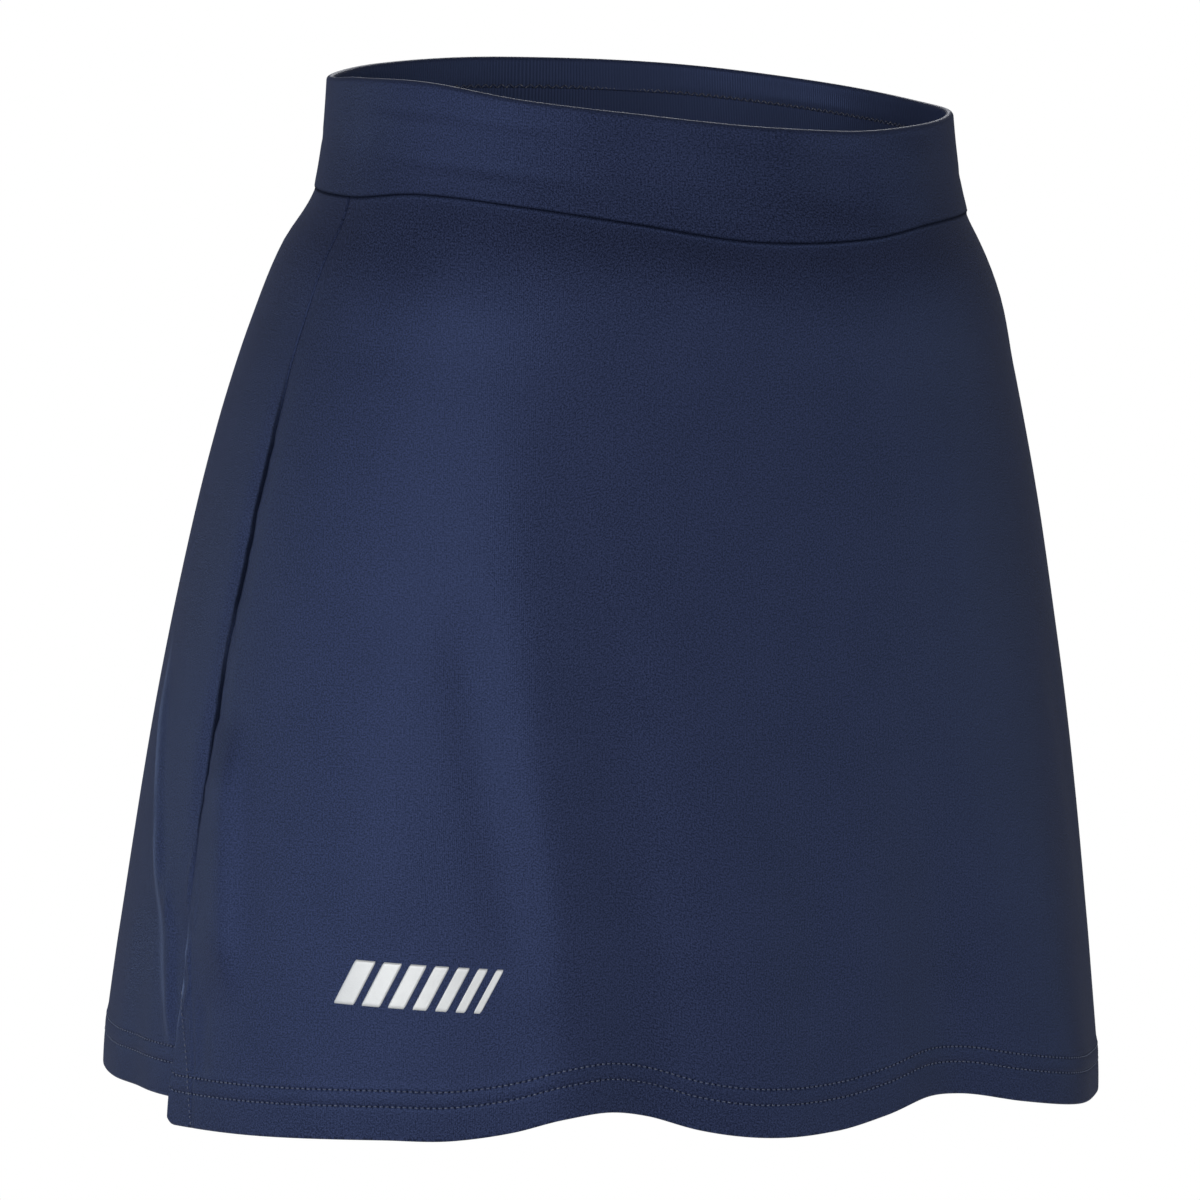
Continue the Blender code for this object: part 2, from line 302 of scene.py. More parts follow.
Edge = namedtuple("Edge", "angle drop")
BAND_SEAM = (
    Edge(0.0, 0.0425),
    Edge(45.0, 0.0440),
    Edge(90.0, 0.0450),
    Edge(135.0, 0.0470),
    Edge(162.0, 0.0480),
    Edge(180.0, 0.0460),
    Edge(200.0, 0.0396),
    Edge(225.0, 0.0390),
    Edge(245.0, 0.0416),
    Edge(266.0, 0.0462),
    Edge(286.0, 0.0444),
    Edge(302.0, 0.0402),
    Edge(323.0, 0.0388),
)
FRONT_HEM = (
    Edge(183.0, 0.3940),
    Edge(198.0, 0.3922),
    Edge(219.0, 0.3885),
    Edge(228.0, 0.3872),
    Edge(235.0, 0.3830),
    Edge(240.5, 0.3775),
    Edge(245.5, 0.3750),
    Edge(250.5, 0.3772),
    Edge(256.0, 0.3825),
    Edge(262.0, 0.3855),
    Edge(270.0, 0.3852),
    Edge(276.0, 0.3812),
    Edge(283.0, 0.3762),
    Edge(288.0, 0.3766),
    Edge(297.0, 0.3818),
    Edge(306.0, 0.3860),
    Edge(322.0, 0.3885),
    Edge(340.0, 0.3865),
    Edge(357.0, 0.3840),
)

# The right side seam, and how deep the cloth sinks in along it
SeamPoint = namedtuple("SeamPoint", "drop angle depth")
RIGHT_SEAM = (
    SeamPoint(0.040, 179.6, 0.0000),
    SeamPoint(0.080, 182.2, 0.0002),
    SeamPoint(0.110, 182.8, 0.0004),
    SeamPoint(0.125, 183.0, 0.0012),
    SeamPoint(0.170, 183.2, 0.0019),
    SeamPoint(0.192, 183.2, 0.0022),
    SeamPoint(0.204, 183.1, 0.0014),
    SeamPoint(0.260, 183.0, 0.0027),
    SeamPoint(0.283, 183.3, 0.0012),
    SeamPoint(0.300, 183.7, 0.0002),
    SeamPoint(0.330, 184.2, 0.0001),
    SeamPoint(0.400, 184.0, 0.0002),
)
LEFT_SEAM_ANGLE = -3.0
LEFT_SEAM_DEPTH = 0.0010
LEFT_SINK_TOP = 0.040
LEFT_SINK_FADE = 0.015
SEAM_SINK_WIDTH = 0.0060
DEEPEST_SINK = 0.0027
# Width of the shade painted down the ditch of a seam
PAINTED_DITCH_WIDTH = 0.0007

# Folds that grow down the cloth: angle and drop of both ends, half width, height
Fold = namedtuple("Fold", "top_angle low_angle top_drop low_drop half_width height")
FOLDS = (
    Fold(226.0, 242.5, 0.068, 0.340, 7.4, 0.0050),
    Fold(241.9, 250.5, 0.100, 0.375, 5.9, -0.0047),
    Fold(250.0, 263.5, 0.130, 0.386, 8.0, 0.0055),
    Fold(282.0, 286.5, 0.190, 0.376, 7.5, -0.0062),
    Fold(304.0, 307.0, 0.210, 0.386, 9.0, 0.0052),
    Fold(335.0, 338.0, 0.210, 0.386, 9.0, -0.0035),
    Fold(10.0, 15.0, 0.180, 0.380, 8.0, -0.0055),
    Fold(30.0, 33.0, 0.150, 0.385, 8.0, 0.0050),
    Fold(48.0, 51.0, 0.200, 0.378, 7.5, -0.0055),
    Fold(68.0, 70.0, 0.140, 0.386, 9.0, 0.0055),
    Fold(90.0, 91.0, 0.180, 0.380, 8.0, -0.0050),
    Fold(110.0, 112.0, 0.130, 0.386, 9.0, 0.0050),
    Fold(132.0, 131.0, 0.190, 0.380, 8.0, -0.0045),
    Fold(168.0, 180.0, 0.240, 0.380, 4.0, 0.0016),
)

# Smaller creases on the front: angle and drop of both ends, half width and height in
# metres; lean narrows the side towards larger angles and widens the other
FIELDS = "angle drop end_angle end_drop half_width height lean"
Crease = namedtuple("Crease", FIELDS, defaults=(0.0,))
FRONT_CREASES = (
    Crease(223.0, 0.175, 237.0, 0.335, 0.0105, -0.0020),
    Crease(211.0, 0.195, 219.0, 0.322, 0.0130, 0.0010),
    Crease(207.5, 0.265, 205.5, 0.330, 0.0090, -0.0007),
    Crease(186.8, 0.236, 193.8, 0.350, 0.0098, 0.0041, 0.30),
    Crease(198.5, 0.215, 200.0, 0.310, 0.0100, -0.0004),
    Crease(189.0, 0.340, 190.6, 0.380, 0.0040, -0.0008),
    Crease(183.9, 0.3255, 186.1, 0.3385, 0.0011, 0.0006),
    Crease(186.1, 0.3360, 185.3, 0.3515, 0.0011, 0.0006),
    Crease(185.2, 0.3480, 183.8, 0.3640, 0.0009, 0.0004),
    Crease(184.6, 0.300, 185.6, 0.3240, 0.0020, 0.0004),
    Crease(270.0, 0.250, 268.0, 0.345, 0.0080, -0.0007),
    Crease(293.0, 0.100, 296.0, 0.210, 0.0140, 0.0007),
    Crease(318.0, 0.190, 323.0, 0.330, 0.0120, -0.0009),
    Crease(348.0, 0.230, 350.0, 0.350, 0.0090, 0.0009),
    Crease(341.0, 0.062, 333.0, 0.105, 0.0060, -0.0005),
)
# A crease fades in and out over the shorter of a share of its length and a reach
CREASE_END_SHARE = 0.28
CREASE_END_REACH = 0.035


def curve_through(known, values, at):
    """Cubic curve through known values, with the table's own slopes, level past its ends."""
    known = np.asarray(known)
    values = np.asarray(values)
    slopes = np.gradient(values, known)
    at = np.clip(at, known[0], known[-1])
    left = np.clip(np.searchsorted(known, at, side="right") - 1, 0, len(known) - 2)
    span = known[left + 1] - known[left]
    along = (at - known[left]) / span
    start = (1 + 2 * along) * (1 - along) ** 2 * values[left]
    end = along**2 * (3 - 2 * along) * values[left + 1]
    leaving = along * (1 - along) ** 2 * span * slopes[left]
    arriving = along**2 * (along - 1) * span * slopes[left + 1]
    return start + end + leaving + arriving


def column(rows, name):
    return np.array([getattr(row, name) for row in rows])


def by_drop(rows, name, drop):
    return curve_through(column(rows, "drop"), column(rows, name), drop)


def by_angle(edges, angle):
    return curve_through(column(edges, "angle"), column(edges, "drop"), angle)


def round_body(edges, angle, name="drop"):
    """Value of a table that closes on itself round the body."""
    angles = column(edges, "angle")
    turns = np.concatenate([angles - 360.0, angles, angles + 360.0])
    return curve_through(turns, np.tile(column(edges, name), 3), np.mod(angle, 360.0))


def ease(share):
    """0 to 1 with level ends: three times the square less twice the cube."""
    share = np.clip(share, 0.0, 1.0)
    return share * share * (3.0 - 2.0 * share)


def signed_power(value, power):
    return np.sign(value) * np.abs(value) ** power


def fold_height(angle, drop):
    """Sum of bell-shaped ridges and troughs, each growing down its own slanting line."""
    height = np.zeros(np.broadcast(angle, drop).shape)
    for fold in FOLDS:
        along = (drop - fold.top_drop) / (fold.low_drop - fold.top_drop)
        along = np.clip(along, 0.0, 1.0)
        middle = fold.top_angle + (fold.low_angle - fold.top_angle) * along
        across = np.mod(angle - middle + 180.0, 360.0) - 180.0
        height += fold.height * bell(across, 0.0, fold.half_width) * ease(along)
    return height


def crease_height(creases, angle, drop):
    """Sum of bell-shaped ridges and troughs along short lines, fading at both ends."""
    height = np.zeros(np.broadcast(angle, drop).shape)
    reach = np.radians(1.0) * by_drop(SKIRT_SECTIONS, "half_depth", drop)
    for crease in creases:
        run = (crease.end_angle - crease.angle) * reach
        fall = crease.end_drop - crease.drop
        off = (np.mod(angle - crease.angle + 180.0, 360.0) - 180.0) * reach
        down = drop - crease.drop
        length = np.hypot(run, fall)
        along = (off * run + down * fall) / length**2
        aside = (off * fall - down * run) / length
        fade = np.minimum(CREASE_END_SHARE, CREASE_END_REACH / length)
        ends = ease(along / fade) * ease((1 - along) / fade)
        width = crease.half_width * (1 - crease.lean * np.sign(aside))
        height += crease.height * bell(aside, 0.0, width) * ends
    return height


def cloth_point(sections, angle, drop, inset):
    """Rounded oval of the drop's half width and depth, moved in by inset and out by the folds.

    The oval is x = a cos^(2/n), y = b sin^(2/n); its ring tilts with the waist.
    """
    turn = np.radians(angle)
    half_width = by_drop(sections, "half_width", drop)
    half_depth = by_drop(sections, "half_depth", drop)
    across = half_width * signed_power(np.cos(turn), 2 / OVAL_POWER)
    back = half_depth * signed_power(np.sin(turn), 2 / OVAL_POWER)
    steep = 2 * (OVAL_POWER - 1) / OVAL_POWER
    out_x = signed_power(np.cos(turn), steep) / half_width
    out_y = signed_power(np.sin(turn), steep) / half_depth
    length = np.hypot(out_x, out_y)
    out = fold_height(angle, drop) - inset
    lift = WAIST_TILT * (1 - drop / LEVEL_DROP) * back
    shift = by_drop(sections, "shift", drop)
    x = across + out * out_x / length
    y = shift + back + out * out_y / length
    return np.stack([x, y, lift - drop], axis=-1)


def right_seam(drop):
    return by_drop(RIGHT_SEAM, "angle", drop)


def half_gap(drop):
    """Half the seam gap as an angle where the side seams lie."""
    return np.degrees(SEAM_GAP / 2 / by_drop(SKIRT_SECTIONS, "half_depth", drop))


def crowded(count, density):
    """Shares from 0 to 1, closer together where the density function of the share is high."""
    fine = np.linspace(0.0, 1.0, 4001)
    total = np.concatenate([[0.0], np.cumsum(density((fine[1:] + fine[:-1]) / 2))])
    return np.interp(np.linspace(0.0, 1.0, count), total / total[-1], fine)


def bell(share, middle, width):
    return np.exp(-(((share - middle) / width) ** 2))


def rounded_in(distance, radius):
    """Quarter circle: how far a face has turned in at a distance from its edge."""
    inside = np.clip(1 - distance / radius, 0.0, 1.0)
    return radius * (1 - np.sqrt(1 - inside**2))


def panel_drops():
    """Shares down a panel, close together at the seam, at the vent's top and in the hem."""
    return crowded(
        PANEL_ROWS,
        lambda s: 1 + 6 * bell(s, 0.02, 0.025) + 1.6 * bell(s, 0.86, 0.06) + 8 * bell(s, 0.98, 0.045),
    )


def panel_columns(count, density):
    """Shares across a panel with extra columns for its rounded side edges."""
    edge = np.array([0.0, 0.00015, 0.0005, 0.0010, 0.0018])
    middle = crowded(count, density)
    middle = edge[-1] + (1 - 2 * edge[-1]) * middle
    return np.concatenate([edge[:-1], middle, 1 - edge[-2::-1]])


Shell = namedtuple("Shell", "points across up inside shade")


def panel_shell(columns, first_edge, last_edge, hem, shaping, turned_edge, painted_side_shading):
    """Closed section of a panel at each column: down the outer face, round the hem, up inside.

    Edges are functions of the drop. shaping gives the outer face's inset from angle, drop
    and the distances to both side edges; turned_edge the width of the doubled side; the last
    function the shade painted down the side seam's ditch, below 0 a highlight painted on a sharp
    crest.
    """
    rows = len(columns)
    down = panel_drops()
    turn = np.linspace(0.0, math.pi, ROLL_ROWS + 2)[1:-1]
    share = np.concatenate([down, np.ones(ROLL_ROWS), down[::-1]])[None, :]
    rolled = HEM_ROLL * np.concatenate([0 * down, np.sin(turn), 0 * down])[None, :]
    flat_drop = MEAN_SEAM_DROP + (MEAN_HEM_DROP - MEAN_SEAM_DROP) * share
    first = first_edge(flat_drop)
    angle = first + (last_edge(flat_drop) - first) * columns[:, None]
    seam = round_body(BAND_SEAM, angle)
    top = seam - UNDER_BAND_REACH
    low = hem(angle)
    drop = top + (low - HEM_ROLL - top) * share
    outer = cloth_point(SKIRT_SECTIONS, angle, drop, 0.0)
    steps = np.linalg.norm(np.diff(outer, axis=0), axis=-1)
    from_first = np.concatenate([np.zeros((1, steps.shape[1])), np.cumsum(steps, axis=0)])
    from_last = from_first[-1] - from_first
    middle = from_first[rows // 2]
    near_seam = 1 - ease((drop - seam) / PANEL_TUCK_REACH)
    tuck = PANEL_TUCK * near_seam
    past = (drop - seam - PINCH_DROP) / PINCH_REACH
    pinch = ease((drop - seam) / PINCH_DROP) * (1 - ease(past))
    tuck = tuck + round_body(SEAM_PINCH, angle, "depth") * pinch
    under = 1 - ease((drop - seam) / UNDER_BAND_EDGE + 1)
    face = tuck + (UNDER_BAND_INSET - PANEL_TUCK) * under
    face = face + shaping(angle, drop, from_first, from_last)
    above = low - drop
    single = CLOTH + (UNDER_BAND_CLOTH - CLOTH) * under
    doubled = np.maximum(
        1 - ease((above - HEM_TURN) / TURN_STEP), turned_edge(drop, from_first)
    )
    thick = single + (2 * HEM_ROLL - single) * doubled
    inward = np.concatenate([0 * down, (1 - np.cos(turn)) / 2, 0 * down + 1])[None, :]
    half = thick / 2
    edge = np.minimum(from_first, from_last)
    closing = np.sqrt(1 - np.clip(1 - edge / half, 0.0, 0.97) ** 2)
    inset = face + half + half * (2 * inward - 1) * closing
    step = cloth_point(BAND_SECTIONS, angle, seam, 0.0) - cloth_point(SKIRT_SECTIONS, angle, seam, 0.0)
    points = cloth_point(SKIRT_SECTIONS, angle, drop + rolled, inset) + step * near_seam[..., None]
    inside = np.broadcast_to(ease(2 * inward - 0.5), drop.shape)
    side = painted_side_shading(angle, drop, from_first, from_last)
    # Shade painted along the waistband seam and the side seam; below 0, a painted highlight
    shade = np.maximum(bell(drop - seam, 0.0, PAINTED_DITCH_WIDTH), side) + np.minimum(side, 0.0)
    return Shell(points, from_first - middle, above, inside, shade)


def cloth_piece(name, shell, finish, girth=0.0):
    """Mesh of closed sections side by side: capped at both ends, or all round with a girth.

    UV map "cloth" holds metres across and metres above the hem; "inside" is 1 inside and
    the painted shading attribute is 1 where shade is painted down the ditch of a seam and
    below 0 where a highlight is painted on a crest.
    """
    columns, loop = shell.points.shape[:2]
    index = np.arange(columns * loop).reshape(columns, loop)
    right = np.roll(index, -1, axis=0)
    across = np.broadcast_to(shell.across, (columns, loop))
    across_right = np.roll(across, -1, axis=0)
    across_right[-1] += girth
    up = np.broadcast_to(shell.up, (columns, loop))
    up_right = np.roll(up, -1, axis=0)
    keep = slice(None) if girth else slice(0, -1)

    def below(grid):
        return np.roll(grid, -1, axis=1)

    def quads(*grids):
        return np.stack([grid[keep] for grid in grids], axis=-1).reshape(-1, 4)

    faces = quads(index, below(index), below(right), right)
    u = quads(across, below(across), below(across_right), across_right)
    v = quads(up, below(up), below(up_right), up_right)
    if not girth:
        near = np.arange(loop // 2 - 1)
        far = loop - 1 - near
        caps = [
            index[0][np.stack([near + 1, near, far, far - 1], axis=-1)],
            index[-1][np.stack([near, near + 1, far - 1, far], axis=-1)],
        ]
        for cap in caps:
            faces = np.concatenate([faces, cap])
            u = np.concatenate([u, across.reshape(-1)[cap]])
            v = np.concatenate([v, up.reshape(-1)[cap]])
    piece = new_piece(name, shell.points.reshape(-1, 3), faces, finish)
    mesh = piece.data
    uv = mesh.uv_layers.new(name="cloth")
    uv.data.foreach_set("uv", np.stack([u, v], axis=-1).reshape(-1))
    for layer_name, values in (("inside", shell.inside), ("shade", shell.shade)):
        layer = mesh.attributes.new(layer_name, "FLOAT", "POINT")
        values = np.broadcast_to(values, (columns, loop)).reshape(-1)
        layer.data.foreach_set("value", values.astype(np.float32))
    mesh.shade_smooth()
    mesh.update()
    return piece


NAVY_DEEP = (0.0060, 0.0082, 0.0195, 1.0)
NAVY_LIGHT = (0.0290, 0.0380, 0.0870, 1.0)
INSIDE_DEEP = (0.0150, 0.0205, 0.0450, 1.0)
INSIDE_LIGHT = (0.0270, 0.0355, 0.0730, 1.0)
SHEEN_BLUE = (0.30, 0.44, 1.0, 1.0)
# Painted shade: colour of the flat dark shader mixed in down seam ditches and needle holes
PAINTED_SHADE_COLOUR = (0.0012, 0.0018, 0.0045, 1.0)
# Painted highlight: colour the knit is lightened to on the sharp crest and the vent's puckers
PAINTED_HIGHLIGHT_COLOUR = (0.150, 0.200, 0.340, 1.0)
WALE = 0.00078
COURSE = 0.00062
STITCH_PITCH = 0.0022
STITCH_ROWS = (0.0129, 0.0189)
HOLE_HALF_HEIGHT = 0.00075
HOLE_SHARE = 0.24
HOLE_DEPTH = 0.00022
INSIDE_RIB = 0.0011
KNIT_RELIEF = 0.00011


def mixed(factor, low, high):
    """Colour between low and high."""
    sockets = {0: factor, 6: low, 7: high}
    return factor.node("ShaderNodeMix", {"data_type": "RGBA"}, sockets, 2)


def noise(place, scale, detail, roughness=0.5):
    """Noise in steps of 1 / scale metres."""
    settings = {"noise_dimensions": "3D"}
    sockets = {"Vector": place, "Scale": scale, "Detail": detail, "Roughness": roughness}
    return place.node("ShaderNodeTexNoise", settings, sockets)


def bumped(height):
    """Shading normal of a relief in metres."""
    sockets = {"Strength": 1.0, "Distance": 1.0, "Height": height}
    return height.node("ShaderNodeBump", {}, sockets)


def wave(angle):
    """Half the sine and a half: 0 to 1."""
    return angle.maths("SINE", angle) * 0.5 + 0.5


def near_zero(value, width):
    """1 at zero, falling evenly to 0 at the width."""
    near = 1 - value.maths("ABSOLUTE", value) / width
    return near.maths("MAXIMUM", near, 0.0)


def knit(name, hem_rows, gloss):
    """Double-knit: upright wales of small loops outside, fine ribs inside, uneven grain."""
    made, shader = new_material(name)
    start = Link(made.node_tree)
    place = start.node("ShaderNodeUVMap", {"uv_map": "cloth"}, {})
    body_place = start.node("ShaderNodeTexCoord", {}, {}, "Object")
    parts = start.node("ShaderNodeSeparateXYZ", {}, {0: place})
    inside = start.node("ShaderNodeAttribute", {"attribute_name": "inside"}, {}, "Fac")
    shade = start.node("ShaderNodeAttribute", {"attribute_name": "shade"}, {}, "Fac")
    wander = noise(place, 900.0, 1.0) - 0.5
    across = parts.output("X") + wander * 0.00035
    up = parts.output("Y")
    from_wale = (across / WALE).maths("PINGPONG", across / WALE, 0.5)
    loops = wave((up / COURSE + from_wale * 1.1) * (2 * math.pi))
    wale = 1 - (from_wale * 2) ** 2
    ribs = wave((parts.output("X") / INSIDE_RIB) * (2 * math.pi))
    grain = noise(place, 1500.0, 2.0, 0.6)
    cloudy = noise(body_place, 34.0, 3.0, 0.55)
    face = wale * 0.45 + wale * loops * 0.30
    relief = (face * 0.6 + grain * 1.3) * (1 - inside) + (ribs * 0.8 + grain * 0.4) * inside
    tone = (grain - 0.5) * 3.6 + (face - 0.42) * 0.22 + (cloudy - 0.5) * 0.30 + 0.5
    outer_colour = mixed(tone, NAVY_DEEP, NAVY_LIGHT)
    inner_colour = mixed(ribs * 0.5 + cloudy * 0.4, INSIDE_DEEP, INSIDE_LIGHT)
    colour = mixed(inside, outer_colour, inner_colour)
    # Painted highlight: lighter colour where the painted shading is below 0
    colour = mixed(shade * -1.0, colour, PAINTED_HIGHLIGHT_COLOUR)
    height = relief * KNIT_RELIEF
    # Painted shade: a flat dark shader mixed in down seam ditches and, below, in the needle holes
    painted_dark = shade * 0.85
    if hem_rows:
        hole = 0.0
        along = parts.output("X") / STITCH_PITCH
        along = along.maths("PINGPONG", along, 0.5)
        for row in STITCH_ROWS:
            beside = near_zero(up - row, HOLE_HALF_HEIGHT)
            hole = hole + beside * near_zero(along, HOLE_SHARE)
        hole = hole * (1 - inside)
        height = height - hole * HOLE_DEPTH
        painted_dark = painted_dark.maths("MAXIMUM", painted_dark, hole)
    look = {
        "Base Color": colour,
        "Roughness": 0.33 + grain * 0.12 + cloudy * 0.06,
        "Normal": bumped(height),
        "Specular IOR Level": gloss,
        "Specular Tint": SHEEN_BLUE,
        "Sheen Weight": 0.05,
        "Sheen Roughness": 0.40,
        "Sheen Tint": SHEEN_BLUE,
    }
    feed(shader, look)
    lit = Link(made.node_tree, shader.outputs[0])
    painted_shade_look = {"Base Color": PAINTED_SHADE_COLOUR, "Roughness": 1.0, "Specular IOR Level": 0.0}
    painted_shade_shader = start.node("ShaderNodeBsdfPrincipled", {}, painted_shade_look)
    surface = start.node("ShaderNodeMixShader", {}, {0: painted_dark, 1: lit, 2: painted_shade_shader})
    feed(made.node_tree.nodes["Material Output"], {"Surface": surface})
    return made


def vent_open(drop):
    return ease((drop - VENT_TOP) / VENT_EASE)


def hem_relief(above):
    """The doubled hem stands proud, sinks at its needle rows, swells between and curls in."""
    proud = HEM_PROUD * (1 - ease((above - STITCH_ROWS[1]) / 0.0035))
    rows = sum(bell(above, row, 0.0008) for row in STITCH_ROWS)
    between = bell(above, sum(STITCH_ROWS) / 2, 0.0020)
    curl = HEM_CURL * np.clip(1 - above / 0.022, 0.0, 1.0) ** 2
    return ROW_SINK * rows - proud - ROW_SWELL * between + curl


def seam_waver(drop):
    """Uneven drawing-in along a sewn seam: three waves of unlike length."""
    waves = np.sin(drop * 2 * math.pi / 0.0113) + np.sin(drop * 2 * math.pi / 0.0171 + 1)
    return (waves + np.sin(drop * 2 * math.pi / 0.0297 + 2)) / 3


def right_sink(drop):
    """How far the right seam draws the cloth in, unevenly down its length."""
    return by_drop(RIGHT_SEAM, "depth", drop) * (1 + 0.35 * seam_waver(drop))


def left_sink(drop):
    """The same for the left seam, from nothing under the waistband."""
    below_band = ease((drop - LEFT_SINK_TOP) / LEFT_SINK_FADE)
    return LEFT_SEAM_DEPTH * below_band * (1 + 0.3 * seam_waver(drop))


def seam_depth(drop):
    """0 to 1: how far the right seam has sunk in, nothing once the vent is open."""
    depth = by_drop(RIGHT_SEAM, "depth", drop) / DEEPEST_SINK
    return np.clip(1.6 * depth, 0.0, 1.0) * (1 - vent_open(drop))


def front_shaping(angle, drop, from_first, from_last):
    """Inset of the front's outer face: creases, sunk seams, curled edges, vent stitching."""
    sunk = 0.70 * right_sink(drop) * bell(from_first, 0.0, SEAM_SINK_WIDTH)
    sunk = sunk + left_sink(drop) * bell(from_last, 0.0, SEAM_SINK_WIDTH)
    closed = 1 - vent_open(drop)
    curl = rounded_in(from_first, EDGE_CURL) * closed + rounded_in(from_last, EDGE_CURL)
    row = bell(from_first, vent_row_distance(drop), 0.0009) * vent_open(drop + 0.006)
    above = by_angle(FRONT_HEM, angle) - drop
    relief = hem_relief(above)
    return sunk + curl + ROW_SINK * row + relief - crease_height(FRONT_CREASES, angle, drop)


def vent_row_distance(drop):
    """How far in from the vent edge its stitch row runs: slanting away down to the hem."""
    return VENT_ROW_NEAR + VENT_ROW_SLANT * ease((drop - VENT_TOP - 0.020) / 0.070)


def front_painted_shading(angle, drop, from_first, from_last):
    """Shade painted along the right seam, then a highlight painted on the puckered edge at the top of
    the vent.
    """
    # Painted highlight along the puckered vent edge
    painted_pucker_glint = bell(from_first, 0.0008, 0.0009) * bell(drop, 0.338, 0.017)
    painted_pucker_glint = painted_pucker_glint * ease(0.55 + 0.9 * seam_waver(drop))
    return seam_depth(drop) * bell(from_first, 0.0, 1.4 * PAINTED_DITCH_WIDTH) - 0.8 * painted_pucker_glint + 0 * angle


def front_hem(angle):
    """Hem of the front with a rounded corner at the vent."""
    from_edge = np.radians(angle - RIGHT_SEAM[-1].angle) * SKIRT_SECTIONS[-1].half_depth
    return by_angle(FRONT_HEM, angle) - rounded_in(from_edge, CORNER_RADIUS)


front_shell = panel_shell(
    panel_columns(FRONT_COLUMNS, lambda s: 1 + 5 * bell(s, 0.0, 0.05) + 2 * bell(s, 1.0, 0.01)),
    lambda drop: right_seam(drop) + half_gap(drop),
    lambda drop: 360.0 + LEFT_SEAM_ANGLE - half_gap(drop),
    front_hem,
    front_shaping,
    lambda drop, from_first: vent_open(drop) * (1 - ease((from_first - VENT_TURN) / TURN_STEP)),
    front_painted_shading,
)
skirt_knit = knit("navy_knit", hem_rows=True, gloss=0.34)
front_panel = cloth_piece("front_panel_cloth", front_shell, skirt_knit)
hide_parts("front_panel")
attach(front_panel, "root")

# ---------------------------------------------------------------------------------------
# Back panel. Cut from the same cloth; it meets the front in plain closed side seams and,
# from the vent's top down, its right edge runs on a little under the front panel's edge.

BACK_COLUMNS = 250
VENT_UNDERLAP = 6.0
VENT_STEP_REACH = 16.0
VENT_STEP = 0.0022
BACK_HEM = (
    Edge(-3.0, 0.3840),
    Edge(16.0, 0.3790),
    Edge(32.0, 0.3850),
    Edge(50.0, 0.3782),
    Edge(70.0, 0.3862),
    Edge(91.0, 0.3796),
    Edge(112.0, 0.3858),
    Edge(131.0, 0.3800),
    Edge(155.0, 0.3836),
    Edge(186.0, 0.3842),
)
BACK_CREASES = (
    Crease(163.6, 0.222, 178.6, 0.322, 0.0030, 0.0020),
    Crease(177.6, 0.300, 182.8, 0.370, 0.0024, 0.0018),
    Crease(182.6, 0.288, 182.9, 0.317, 0.0012, 0.0006),
    Crease(160.0, 0.110, 164.0, 0.215, 0.0100, 0.0007),
    Crease(150.0, 0.240, 153.0, 0.340, 0.0080, -0.0008),
    Crease(121.0, 0.210, 118.0, 0.330, 0.0070, -0.0008),
    Crease(100.0, 0.120, 102.0, 0.230, 0.0110, 0.0008),
    Crease(79.0, 0.235, 82.0, 0.350, 0.0060, -0.0007),
    Crease(58.0, 0.130, 61.0, 0.240, 0.0100, -0.0007),
    Crease(40.0, 0.250, 42.0, 0.355, 0.0060, 0.0008),
    Crease(22.0, 0.200, 20.0, 0.310, 0.0070, 0.0007),
    Crease(4.0, 0.060, 9.0, 0.110, 0.0060, -0.0005),
)


# Highlight painted on the sharp crest above the vent's underlap: where, how wide and how strongly
PAINTED_CREST_HIGHLIGHT = (
    Crease(162.6, 0.215, 173.0, 0.285, 0.0016, 0.33),
    Crease(171.4, 0.268, 183.0, 0.372, 0.0014, 0.23),
)


def back_shaping(angle, drop, from_first, from_last):
    """Inset of the back's outer face: creases, sunk seams, curled edges, step at the vent."""
    opening = vent_open(drop)
    sunk = right_sink(drop) * bell(from_last, 0.0, SEAM_SINK_WIDTH)
    sunk = sunk * (1 - opening)
    sunk = sunk + left_sink(drop) * bell(from_first, 0.0, SEAM_SINK_WIDTH)
    curl = rounded_in(from_last, EDGE_CURL) * (1 - opening) + rounded_in(from_first, EDGE_CURL)
    near = ease((angle - right_seam(drop) + VENT_STEP_REACH) / VENT_STEP_REACH * 2)
    relief = hem_relief(by_angle(BACK_HEM, angle) - drop)
    step = VENT_STEP * near * opening
    return sunk + curl + step + relief - crease_height(BACK_CREASES, angle, drop)


def back_painted_shading(angle, drop, from_first, from_last):
    """Shade painted where the back dips behind the front panel's edge; a highlight painted on the
    sharp crest.
    """
    hidden = 0.45 * right_sink(drop) + 0.0010
    painted_dark = seam_depth(drop) * (1 - ease((from_last - hidden) / 0.0012))
    return painted_dark - crease_height(PAINTED_CREST_HIGHLIGHT, angle, drop)


def back_last_edge(drop):
    under = ease((drop - VENT_TOP) / VENT_EASE - 0.6)
    return right_seam(drop) - half_gap(drop) + VENT_UNDERLAP * under


back_shell = panel_shell(
    panel_columns(BACK_COLUMNS, lambda s: 1 + 2.5 * bell(s, 1.0, 0.09) + 2 * bell(s, 0.0, 0.01)),
    lambda drop: LEFT_SEAM_ANGLE + half_gap(drop),
    back_last_edge,
    lambda angle: by_angle(BACK_HEM, angle),
    back_shaping,
    lambda drop, from_first: 0.0 * drop,
    back_painted_shading,
)
back_panel = cloth_piece("back_panel_cloth", back_shell, skirt_knit)
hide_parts("back_panel")
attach(back_panel, "root")

# ---------------------------------------------------------------------------------------
# Waistband. One tube of the same knit, folded over at the top edge; its end is turned in
# 12 mm and sewn down as the elastic's casing, and its lower edge is sewn to the panels.

